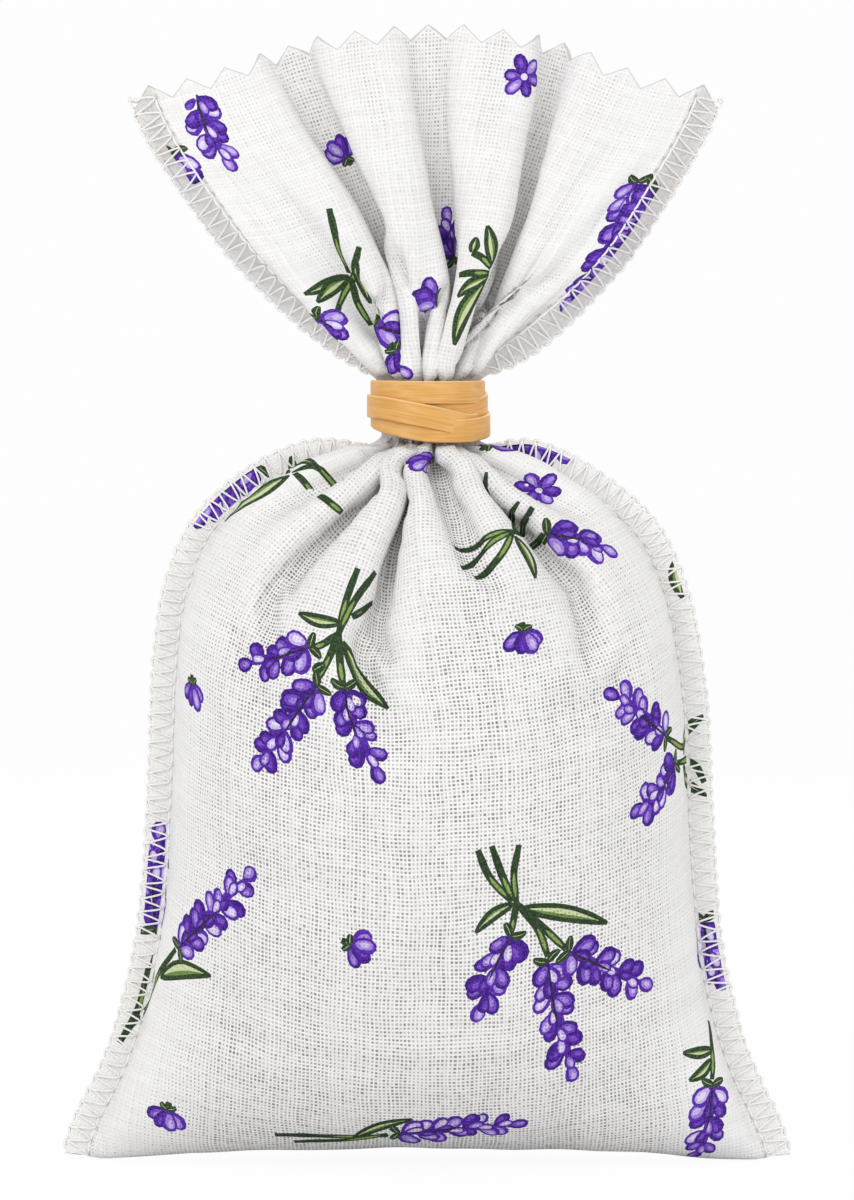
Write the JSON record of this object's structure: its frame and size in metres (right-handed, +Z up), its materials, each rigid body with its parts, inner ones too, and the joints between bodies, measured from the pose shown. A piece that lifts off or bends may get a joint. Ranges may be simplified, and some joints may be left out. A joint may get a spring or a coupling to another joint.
{
  "type": "lavender sachet",
  "caption": "Plump linen pouch of dried lavender with overlocked side seams, gathered at the neck by a wound rubber band below a pinked, fan-shaped ruffle.",
  "frame": {"origin": "middle of the base that the sachet stands on", "axes": "+Z up along the neck, +X to the right along the fold, the printed front towards -Y"},
  "size_m": [0.1092, 0.0546, 0.1715],
  "materials": {
    "linen": "open plain weave, matte, printed",
    "lavender": "dried flowers, matte",
    "rubber": "tan, satin",
    "thread": "white sewing thread"
  },
  "bodies": {
    "sachet": {"linen_cloth": "linen", "lavender_fill": "lavender", "left_needle_thread": "thread", "left_upper_looper_thread": "thread", "left_lower_looper_thread": "thread", "right_needle_thread": "thread", "right_upper_looper_thread": "thread", "right_lower_looper_thread": "thread"},
    "band": {"rubber_band": "rubber"}
  },
  "joints": [
    {"name": "band_turn", "type": "hinge", "parent": "sachet", "child": "band", "pos_m": [0, 0, 0.1128], "axis": [0, 0, 1], "continuous": true}
  ]
}
